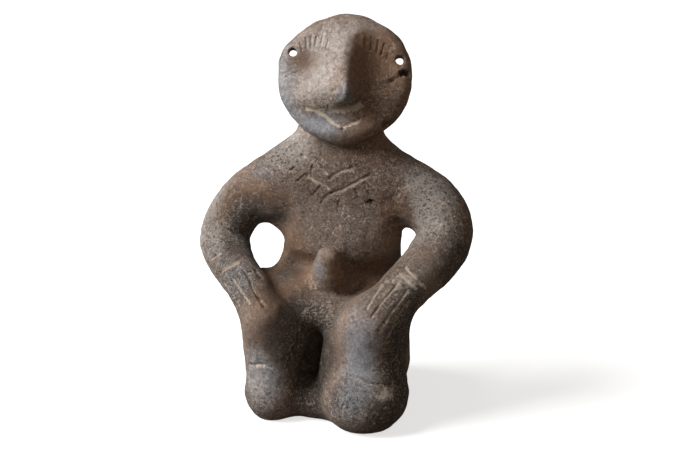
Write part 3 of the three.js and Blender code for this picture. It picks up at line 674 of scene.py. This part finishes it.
triangles = halves(points, quads)
for _ in range(4):
    points, triangles, cuts = cut_edges(points, triangles)
    print("cut", cuts, "edges:", len(triangles), "triangles")
    if not cuts:
        break


# %% [markdown]
# ## Relief
#
# The finished skin moves each point along the field's slope. Lines go in, with a slight ridge
# of pushed-up clay on both sides. The rest is the unevenness that hands leave: lumps of about a
# centimetre, and a finer grain where the surface was never smoothed.

# %% Noise in space
def lumps(p, size, seed):
    """Smooth random lumps from -1 to 1: eight hashed corner values of a cube of that size, blended."""
    at = p / size + seed * 17.3
    base = np.floor(at).astype(np.int64)
    t = at - base
    t = t * t * (3 - 2 * t)
    total = np.zeros(len(p))
    for i in (0, 1):
        for j in (0, 1):
            for k in (0, 1):
                n = (base[:, 0] + i) * 374761393 + (base[:, 1] + j) * 668265263
                n = (n + (base[:, 2] + k) * 1442695041 + seed * 2246822519) & 0xFFFFFFFF
                n = ((n ^ (n >> 13)) * 1274126177) & 0xFFFFFFFF
                value = ((n ^ (n >> 16)) & 0xFFFF) / 32767.5 - 1
                weight = np.where(i, t[:, 0], 1 - t[:, 0]) * np.where(j, t[:, 1], 1 - t[:, 1])
                total += value * weight * np.where(k, t[:, 2], 1 - t[:, 2])
    return total


# %% Carve
def carve(p):
    """Depth and deposit of every line: a bell across the line, fading out at both of its ends."""
    depth = np.zeros(len(p))
    deposit = np.zeros(len(p))
    for n, (line, width, deep, pale) in enumerate(CARVING):
        some = near_line(p, line, width * 2.5)
        gap, along = distance_to_line(p[some], line)
        gap = np.abs(gap + 0.12 * lumps(p[some], 1.6, 40 + n))
        ends = fade(0, 0.08, along) * fade(0, 0.08, 1 - along)
        uneven = 0.8 + 0.5 * lumps(p[some], 2.5, 70 + n)
        bell = np.exp(-((gap / (width * 0.5)) ** 2))
        ridge = np.exp(-(((gap - width) / (width * 0.35)) ** 2))
        depth[some] = np.maximum(depth[some], deep * ends * uneven * (bell - 0.15 * ridge))
        deposit[some] = np.maximum(deposit[some], pale * ends * np.exp(-((gap / (width * 0.7)) ** 2)))
    return depth, deposit


def prick(p):
    """Depth of every pit: a flat-bottomed bell of its own radius. A depth below 0 is a small knob."""
    depth = np.zeros(len(p))
    spots = [(np.array([place]), radius, deep) for place, radius, deep in PITS]
    spots = [(pull_onto_skin(place.astype(float), 6)[0], radius, deep) for place, radius, deep in spots]
    spots += [(on_face([place, place], 1)[0], radius, deep) for place, radius, deep in FACE_PITS]
    for place, radius, deep in spots:
        gap = np.linalg.norm(p - place, axis=1) / radius
        depth += deep * np.exp(-np.clip(gap, 0, 6) ** 4)
    return depth


carved, deposit = carve(points)
carved += prick(points)
_, rise = slope(points)
outward = rise / np.linalg.norm(rise, axis=1)[:, None]
handmade = 0.35 * lumps(points, 12, 1) + 0.26 * lumps(points, 5, 2) + 0.14 * lumps(points, 2.6, 3)
grainy = np.clip(0.5 + 0.7 * lumps(points, 14, 4), 0.15, 1)
handmade += grainy * (0.10 * lumps(points, 1.5, 5) - 0.24 * fade(0.3, 0.65, lumps(points, 1.9, 6)))
underside = fade(0.2, 1.5, points[:, 2])
skin = points + outward * (handmade * underside - carved)[:, None]

# %% [markdown]
# ## Put the figure in its place
#
# The clay's own zero is the ground under the chest. The solid's zero is the middle of its box,
# so the skin is moved to have its box in the same place.

# %% Place and build
shift = (LOW + HIGH) / 2 - (points.min(0) + points.max(0)) / 2
shift[2] = LOW[2] - points[:, 2].min()
placed = (skin + shift) * MM


def build(name, where, faces):
    """A mesh object from arrays of points and triangles, with smooth shading."""
    mesh = bpy.data.meshes.new(name)
    mesh.vertices.add(len(where))
    mesh.vertices.foreach_set("co", where.astype(np.float32).ravel())
    mesh.loops.add(faces.size)
    mesh.loops.foreach_set("vertex_index", faces.astype(np.int32).ravel())
    mesh.polygons.add(len(faces))
    mesh.polygons.foreach_set("loop_start", np.arange(0, faces.size, 3, dtype=np.int32))
    mesh.polygons.foreach_set("loop_total", np.full(len(faces), 3, dtype=np.int32))
    mesh.polygons.foreach_set("use_smooth", np.ones(len(faces), dtype=bool))
    mesh.update(calc_edges=True)
    mesh.validate()
    made = bpy.data.objects.new(name, mesh)
    bpy.context.scene.collection.objects.link(made)
    return made


def paint(made, name, values):
    """Keeps one number for each point of the mesh, for a material to read."""
    layer = made.data.attributes.new(name, "FLOAT", "POINT")
    layer.data.foreach_set("value", values.astype(np.float32))


figure = build("figurine_skin", placed, triangles)
print("skin:", len(placed), "points,", len(triangles), "triangles")


# %% [markdown]
# ## Zones of the finish, and of painted light and shade
#
# The clay was fired dark and rubbed. It is blue-black where the polish is still on, brown where
# it has worn through, and pale where lime has settled. Some zones paint light and shade as well:
# a sheen and pale light on the faces turned to the light, and deep brown and near-black shade in
# hollows, creases, between the legs and on the side turned away. Each zone is a few soft patches
# with a centre and a reach in millimetres.

# %% Patches
# Smooth blue-grey where the polish is still on, and painted sheen on the faces turned to the light: chin,
# left rim of the face, hands, shins, feet
POLISH_AND_SHEEN = [
    ((-8, -14, 122), (13, 9, 8), 1.0), ((-24, -8, 138), (7, 12, 16), 1.1),
    ((3, -19, 136), (5, 6, 7), 0.8), ((-40, -26, 58), (13, 14, 12), 0.7),
    ((15, -42, 36), (9, 12, 20), 1.0), ((-27, -38, 20), (10, 12, 16), 1.0),
    ((-7, -21, 62), (4, 5, 10), 0.7), ((-55, -8, 72), (9, 12, 18), 0.9),
    ((13, -47, 15), (14, 10, 12), 0.6), ((33, -22, 62), (10, 12, 12), 0.5),
    ((2, -10, 84), (9, 8, 6), 0.4), ((2, 20, 92), (18, 10, 16), 0.7), ((-33, -4, 100), (9, 8, 8), 0.6),
]
# Pale where lime has settled or the surface has worn, and painted light on the tops and the sides turned
# to the light: face, shoulders, outer arms
PALE_AND_LIT = [
    ((-10, -13, 140), (10, 10, 13), 1.0), ((-3, -6, 156), (18, 12, 9), 0.8),
    ((16, 0, 160), (13, 10, 7), 0.5), ((20, 3, 153), (5, 6, 6), 0.4),
    ((-24, -2, 106), (15, 13, 9), 0.9), ((-24, -9, 139), (5, 10, 12), 0.4),
    ((-57, -4, 78), (11, 18, 20), 1.3), ((34, -5, 97), (11, 9, 10), 0.9),
    ((41, -9, 87), (11, 9, 11), 1.1), ((-14, 20, 104), (15, 9, 9), 0.6),
    ((10, 18, 70), (12, 8, 12), 0.4), ((-20, -2, 113), (8, 8, 6), 0.6),
    ((-29, -38, 16), (7, 8, 13), 0.65), ((11, -44, 36), (5, 6, 14), 0.3),
    ((27, -32, 62), (8, 8, 8), 0.3), ((33, -12, 79), (6, 8, 9), 0.5),
]
# Painted shade in deep brown: eye hollow, throat, under the arms, lap, and the side turned from the light
BROWN_SHADE_PATCHES = [
    ((11, -1, 146), (9, 10, 14), 1.5), ((16, -4, 132), (13, 10, 15), 1.3),
    ((-12, 30, 45), (14, 9, 18), 0.8), ((10, -4, 112), (16, 9, 7), 1.1),
    ((-42, -3, 71), (9, 14, 16), 1.2), ((-31, 0, 84), (10, 14, 10), 1.2),
    ((-22, -6, 60), (10, 13, 16), 1.3), ((23, -5, 82), (7, 9, 13), 1.3),
    ((14, -6, 58), (13, 9, 6), 1.2), ((-22, -14, 52), (12, 18, 10), 1.3),
    ((-44, -4, 84), (12, 12, 9), 0.9), ((2, -20, 62), (4, 7, 10), 1.2),
    ((50, -4, 84), (8, 11, 9), 0.8), ((3, -30, 34), (7, 10, 12), 0.5),
    ((-17, -7, 147), (8, 7, 6), 0.7), ((-24, -34, 50), (8, 8, 12), 0.8),
    ((10, -8, 96), (16, 8, 14), 0.5), ((-16, -8, 98), (14, 8, 8), 0.5),
    ((20, -22, 56), (8, 8, 5), 0.6), ((20, 3, 153), (6, 7, 8), 0.7),
]
# Painted shade in near-black: between the legs, the outside of the left leg and forearm, deep corners
DEEP_SHADE = [
    ((-6, -18, 24), (12, 15, 19), 1.6), ((-20, -38, 34), (7, 8, 8), 0.7),
    ((8, 32, 24), (14, 8, 14), 0.7), ((33, -33, 36), (10, 16, 26), 1.3),
    ((50, -12, 67), (10, 14, 14), 1.15), ((2, -28, 28), (7, 9, 14), 0.7),
    ((-14, -28, 40), (9, 12, 14), 1.1), ((-23, -9, 57), (8, 12, 12), 0.8),
    ((7, -19, 60), (4, 8, 8), 0.8), ((-8, -28, 10), (8, 12, 8), 0.9),
    ((26, -42, 10), (12, 12, 12), 1.0), ((2, -4, 113), (15, 6, 5), 0.7),
    ((-42, -6, 72), (8, 14, 17), 1.4), ((-27, -3, 82), (9, 9, 8), 0.9), ((24, -4, 80), (5, 8, 7), 0.6),
    ((12, -5, 58), (9, 7, 4), 0.5), ((-20, -36, 42), (8, 8, 10), 0.5),
]
# Rough where the skin was never rubbed smooth or has broken away
ROUGH = [
    ((0, -8, 96), (24, 9, 15), 1.0), ((-50, -8, 74), (13, 16, 18), 0.8),
    ((-38, -28, 58), (12, 12, 12), 1.0), ((42, -8, 84), (14, 14, 18), 0.9),
    ((28, -32, 58), (13, 13, 15), 1.0), ((-2, -24, 46), (12, 8, 8), 1.0),
    ((-24, -2, 105), (16, 10, 8), 0.7), ((27, -4, 102), (14, 10, 8), 0.8),
    ((14, -46, 12), (17, 12, 12), 0.8), ((0, -10, 72), (16, 8, 14), 0.6),
    ((30, -36, 34), (9, 12, 18), 0.8), ((0, -14, 131), (14, 8, 6), 0.7),
    ((-12, -34, 24), (8, 8, 22), 0.9), ((-30, -40, 8), (12, 10, 8), 0.7),
    ((16, -2, 132), (10, 10, 12), 0.5),
]
# Tan dust that lies in a hand's scratches, on the lap and over the ankle
DUST = [
    ((27, -32, 62), (8, 8, 8), 0.36), ((34, -28, 64), (6, 6, 4), 0.34),
    ((25, -43, 18.5), (7, 6, 3), 0.68), ((-28, -38, 25), (4, 5, 2.5), 0.22),
    ((-2, -25, 44), (12, 6, 6), 0.35), ((-9, -16, 55), (6, 6, 6), 0.35),
    ((-13, -12, 134), (9, 6, 8), 0.3), ((4, -16, 129), (9, 5, 3), 0.3),
    ((-44, -22, 62), (8, 8, 7), 0.3), ((20, 3, 153), (4, 5, 6), 0.3), ((0, -8, 96), (18, 6, 12), 0.2),
]


def patches(p, spots):
    """Bells in space, each with its own strength, added and kept below 1."""
    total = np.zeros(len(p))
    for centre, reach, strength in spots:
        total += strength * np.exp(-((((p - np.array(centre)) / reach) ** 2).sum(1)))
    return np.clip(total, 0, 1)


paint(figure, "deposit", np.clip(deposit + patches(points, DUST), 0, 1))
# Polish, and a painted sheen on the faces turned to the light
paint(figure, "polish_and_sheen", patches(points, POLISH_AND_SHEEN))
# Pale wear and lime, and painted light on the lit tops and sides
paint(figure, "pale", patches(points, PALE_AND_LIT))
# Painted shade: deep brown in hollows, creases and undersides
paint(figure, "brown_shade", patches(points, BROWN_SHADE_PATCHES))
# Painted shade: near-black in the recesses and on the side turned from the light
paint(figure, "deep_shade", patches(points, DEEP_SHADE))
paint(figure, "rough", patches(points, ROUGH))
# Painted shade: dark brown in carved lines and pits deeper than 0.7 mm, less where deposit lies
paint(figure, "groove_shade", np.clip((carved - 0.7) / 0.8, 0, 1) * (1 - np.clip(deposit * 1.3, 0, 1)))


# %% [markdown]
# ## Material
#
# One shader for the whole figure. Its colour is brown clay, mixed by the zones towards blue-black
# polish with a painted sheen, towards pale wear with painted light, and towards deep brown and
# near-black painted shade, each broken up by noise so that no edge looks drawn. The deepest lines
# and pits are darkened as painted shade too.

# %% Shader helpers
clay_material = bpy.data.materials.new("fired_clay")
clay_material.use_nodes = True
nodes = clay_material.node_tree.nodes
links = clay_material.node_tree.links
shader = nodes["Principled BSDF"]
place = nodes.new("ShaderNodeTexCoord").outputs["Object"]


def noise(scale, detail, roughness, distortion):
    """A noise in the object's own space; scale is in lumps to a metre."""
    node = nodes.new("ShaderNodeTexNoise")
    node.inputs["Scale"].default_value = scale
    node.inputs["Detail"].default_value = detail
    node.inputs["Roughness"].default_value = roughness
    node.inputs["Distortion"].default_value = distortion
    links.new(place, node.inputs["Vector"])
    return node.outputs["Fac"]


def attribute(name):
    """One of the numbers painted on the mesh."""
    node = nodes.new("ShaderNodeAttribute")
    node.attribute_name = name
    return node.outputs["Fac"]


def steps(value, low, high, to_low=0.0, to_high=1.0):
    """The value from low to high stretched to another range, and held at its ends."""
    node = nodes.new("ShaderNodeMapRange")
    for name, number in zip(("From Min", "From Max", "To Min", "To Max"), (low, high, to_low, to_high)):
        node.inputs[name].default_value = number
    links.new(value, node.inputs["Value"])
    return node.outputs["Result"]


def math_node(kind, a, b):
    """Two values, or a value and a number, through one sum."""
    node = nodes.new("ShaderNodeMath")
    node.operation = kind
    for socket, value in zip(node.inputs, (a, b)):
        if isinstance(value, (int, float)):
            socket.default_value = value
        else:
            links.new(value, socket)
    return node.outputs[0]


def mix(amount, a, b):
    """Colour a where the amount is 0 and colour b where it is 1."""
    node = nodes.new("ShaderNodeMix")
    node.data_type = "RGBA"
    links.new(amount, node.inputs["Factor"])
    for name, value in (("A", a), ("B", b)):
        socket = [s for s in node.inputs if s.name == name and s.type == "RGBA"][0]
        if isinstance(value, tuple):
            socket.default_value = (*value, 1)
        else:
            links.new(value, socket)
    return [s for s in node.outputs if s.type == "RGBA"][0]


# %% Colours
CLAY = (0.090, 0.055, 0.038)
CLAY_LIGHT = (0.205, 0.142, 0.106)
# Painted shade: deep browns
BROWN_SHADE_DARK = (0.092, 0.042, 0.020)
BROWN_SHADE_LIGHTER = (0.180, 0.103, 0.060)
# Blue-greys for the polish and for its painted sheen
POLISH_AND_SHEEN_BLUE_GREY = (0.088, 0.091, 0.104)
POLISH_AND_SHEEN_GREY = (0.222, 0.218, 0.226)
# Pales for wear and lime, and for painted light
PALE_AND_LIT_LOW = (0.225, 0.182, 0.155)
PALE_AND_LIT_GREY = (0.400, 0.350, 0.315)
# Painted shade: near-blacks
DEEP_SHADE_BLACK = (0.022, 0.014, 0.009)
DEEP_SHADE_BROWN = (0.062, 0.041, 0.028)
TAN = (0.500, 0.400, 0.315)
# Dark brown for the crumbs, and painted shade in the deep grooves and pits
PIT_AND_GROOVE_SHADE_BROWN = (0.020, 0.013, 0.009)

cloud = steps(noise(scale=95, detail=6, roughness=0.68, distortion=0.4), 0.3, 0.7)
mottle = steps(noise(scale=380, detail=6, roughness=0.75, distortion=1.2), 0.34, 0.66)
grain = steps(noise(scale=1050, detail=4, roughness=0.75, distortion=0.5), 0.34, 0.66)
flecks = noise(scale=400, detail=7, roughness=0.85, distortion=2.6)
crumbs = noise(scale=900, detail=4, roughness=0.75, distortion=0.3)


def zone(name, low=0.3, high=0.8):
    """A zone with an uneven edge: its number plus noise, stretched between two limits."""
    uneven = math_node("ADD", math_node("MULTIPLY", cloud, 0.35), math_node("MULTIPLY", mottle, 0.35))
    return steps(math_node("ADD", attribute(name), math_node("SUBTRACT", uneven, 0.35)), low, high)


both = math_node("ADD", math_node("MULTIPLY", mottle, 0.6), math_node("MULTIPLY", grain, 0.4))
fine = steps(both, 0.2, 0.8)
rough_zone = steps(attribute("rough"), 0.1, 0.7, 0.25, 1.0)
colour = mix(fine, CLAY, CLAY_LIGHT)
# Blue-grey polish, partly a painted sheen where the light falls
colour = mix(zone("polish_and_sheen"), colour, mix(fine, POLISH_AND_SHEEN_BLUE_GREY, POLISH_AND_SHEEN_GREY))
# Pale wear and lime, partly painted light on the sides that face the light
colour = mix(zone("pale", 0.25, 0.9), colour, mix(fine, PALE_AND_LIT_LOW, PALE_AND_LIT_GREY))
# Painted shade: deep brown in hollows, creases and on the side turned from the light
colour = mix(zone("brown_shade", 0.25, 0.8), colour, mix(fine, BROWN_SHADE_DARK, BROWN_SHADE_LIGHTER))
# Painted shade: near-black between the legs, in deep corners and on the shaded side
colour = mix(zone("deep_shade"), colour, mix(fine, DEEP_SHADE_BLACK, DEEP_SHADE_BROWN))
pale_flecks = math_node("MULTIPLY", steps(flecks, 0.515, 0.575, 0, 0.85), rough_zone)
colour = mix(pale_flecks, colour, TAN)
dark_crumbs = math_node("MULTIPLY", steps(crumbs, 0.46, 0.40, 0, 0.85), rough_zone)
colour = mix(dark_crumbs, colour, PIT_AND_GROOVE_SHADE_BROWN)
left = math_node("ADD", attribute("deposit"), math_node("MULTIPLY", both, 0.75))
colour = mix(steps(left, 0.70, 1.0, 0, 0.85), colour, TAN)
# Painted shade in the deep grooves and pits
colour = mix(attribute("groove_shade"), colour, PIT_AND_GROOVE_SHADE_BROWN)
links.new(colour, shader.inputs["Base Color"])
rubbed = math_node("MULTIPLY", attribute("polish_and_sheen"), 0.16)
dullness = math_node("SUBTRACT", steps(mottle, 0.1, 0.9, 0.62, 0.78), rubbed)
links.new(dullness, shader.inputs["Roughness"])
shader.inputs["Specular IOR Level"].default_value = 0.4
bump = nodes.new("ShaderNodeBump")
bump.inputs["Strength"].default_value = 1.0
bump.inputs["Distance"].default_value = 0.0005
coarse = math_node("ADD", mottle, steps(flecks, 0.40, 0.60, 0, 1.2))
height = math_node("MULTIPLY", math_node("ADD", coarse, math_node("MULTIPLY", grain, 0.5)), rough_zone)
height = math_node("SUBTRACT", height, dark_crumbs)
links.new(height, bump.inputs["Height"])
links.new(bump.outputs["Normal"], shader.inputs["Normal"])
figure.data.materials.append(clay_material)

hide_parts(NODE)
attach(figure, "root")

# %% [markdown]
# ## Floor, light and camera
#
# A pale floor, a large soft light from the left and slightly in front, and very little fill.

# %% Floor
def stage_plane(name, half):
    """A flat square of the given half width."""
    corners = [(-half, -half, 0), (half, -half, 0), (half, half, 0), (-half, half, 0)]
    plane = bpy.data.meshes.new(name)
    plane.from_pydata(corners, [], [(0, 1, 2, 3)])
    made = bpy.data.objects.new(name, plane)
    bpy.context.scene.collection.objects.link(made)
    return made


floor = stage_plane("floor", 6.0)
floor_material = bpy.data.materials.new("pale_floor")
floor_material.use_nodes = True
floor_nodes = floor_material.node_tree.nodes
floor_links = floor_material.node_tree.links
floor_nodes.clear()
output = floor_nodes.new("ShaderNodeOutputMaterial")
seen = floor_nodes.new("ShaderNodeLightPath").outputs["Is Camera Ray"]
pale_diffuse = floor_nodes.new("ShaderNodeBsdfDiffuse")
pale_diffuse.inputs["Color"].default_value = (0.5, 0.5, 0.5, 1)
away = floor_nodes.new("ShaderNodeVectorMath")
away.operation = "LENGTH"
floor_links.new(floor_nodes.new("ShaderNodeTexCoord").outputs["Object"], away.inputs[0])
lift = floor_nodes.new("ShaderNodeMapRange")
for name, number in (("From Min", 0.12), ("From Max", 0.9), ("To Min", 0.66), ("To Max", 1.05)):
    lift.inputs[name].default_value = number
floor_links.new(away.outputs["Value"], lift.inputs["Value"])
glow = floor_nodes.new("ShaderNodeEmission")
glow.inputs["Color"].default_value = (1, 1, 1, 1)
floor_links.new(lift.outputs["Result"], glow.inputs["Strength"])
shown = floor_nodes.new("ShaderNodeAddShader")
floor_links.new(pale_diffuse.outputs[0], shown.inputs[0])
floor_links.new(glow.outputs[0], shown.inputs[1])
dim = floor_nodes.new("ShaderNodeBsdfDiffuse")
dim.inputs["Color"].default_value = (0.16, 0.14, 0.12, 1)
choose = floor_nodes.new("ShaderNodeMixShader")
floor_links.new(seen, choose.inputs[0])
floor_links.new(dim.outputs[0], choose.inputs[1])
floor_links.new(shown.outputs[0], choose.inputs[2])
floor_links.new(choose.outputs[0], output.inputs["Surface"])
floor.data.materials.append(floor_material)

# %% World
world = bpy.data.worlds.new("studio")
bpy.context.scene.world = world
world.use_nodes = True
world_nodes = world.node_tree.nodes
world_links = world.node_tree.links
world_nodes.clear()
world_out = world_nodes.new("ShaderNodeOutputWorld")
white = world_nodes.new("ShaderNodeBackground")
white.inputs["Color"].default_value = (1, 1, 1, 1)
white.inputs["Strength"].default_value = 1.05
low_fill = world_nodes.new("ShaderNodeBackground")
low_fill.inputs["Color"].default_value = (1.0, 0.93, 0.87, 1)
low_fill.inputs["Strength"].default_value = 0.12
world_mix = world_nodes.new("ShaderNodeMixShader")
world_links.new(world_nodes.new("ShaderNodeLightPath").outputs["Is Camera Ray"], world_mix.inputs[0])
world_links.new(low_fill.outputs[0], world_mix.inputs[1])
world_links.new(white.outputs[0], world_mix.inputs[2])
world_links.new(world_mix.outputs[0], world_out.inputs["Surface"])


# %% Lights
CENTRE = Vector(((LOW + HIGH) / 2 * MM).tolist())


def soft_light(name, azimuth, elevation, distance, size, watts, colour):
    """A square light aimed at the figure. Azimuth 0 is in front of it and 90 is on its left."""
    lamp = bpy.data.lights.new(name, "AREA")
    lamp.shape = "SQUARE"
    lamp.size = size
    lamp.energy = watts
    lamp.color = colour
    made = bpy.data.objects.new(name, lamp)
    a, e = math.radians(azimuth), math.radians(elevation)
    way = Vector((math.sin(a) * math.cos(e), -math.cos(a) * math.cos(e), math.sin(e)))
    made.location = CENTRE + way * distance
    made.rotation_euler = way.to_track_quat("Z", "Y").to_euler()
    bpy.context.scene.collection.objects.link(made)


COOL_WHITE = (0.96, 0.985, 1.0)
WARM_WHITE = (1.0, 0.87, 0.74)
soft_light("key", azimuth=-64, elevation=36, distance=0.9, size=0.62, watts=24.0, colour=COOL_WHITE)
soft_light("front_fill", azimuth=35, elevation=25, distance=1.2, size=0.8, watts=4.0, colour=WARM_WHITE)

# %% Camera
AZIMUTH, ELEVATION, DISTANCE = 12.0, 15.0, 600.0
TARGET_HEIGHT = 74.7
TARGET = np.array([0, 0, TARGET_HEIGHT]) + shift
FOCAL_PIXELS, PICTURE_WIDTH, SENSOR = 1413.6, 690, 36.0
camera = bpy.data.objects.new("camera", bpy.data.cameras.new("camera"))
camera.data.sensor_width = SENSOR
camera.data.lens = FOCAL_PIXELS / PICTURE_WIDTH * SENSOR
camera.data.clip_start = 0.01
a, e = math.radians(AZIMUTH), math.radians(ELEVATION)
back = Vector((math.sin(a) * math.cos(e), -math.cos(a) * math.cos(e), math.sin(e)))
camera.location = Vector((TARGET * MM).tolist()) + back * DISTANCE * MM
camera.rotation_euler = back.to_track_quat("Z", "Y").to_euler()
bpy.context.scene.collection.objects.link(camera)
bpy.context.scene.camera = camera
bpy.context.scene.view_settings.view_transform = "Standard"
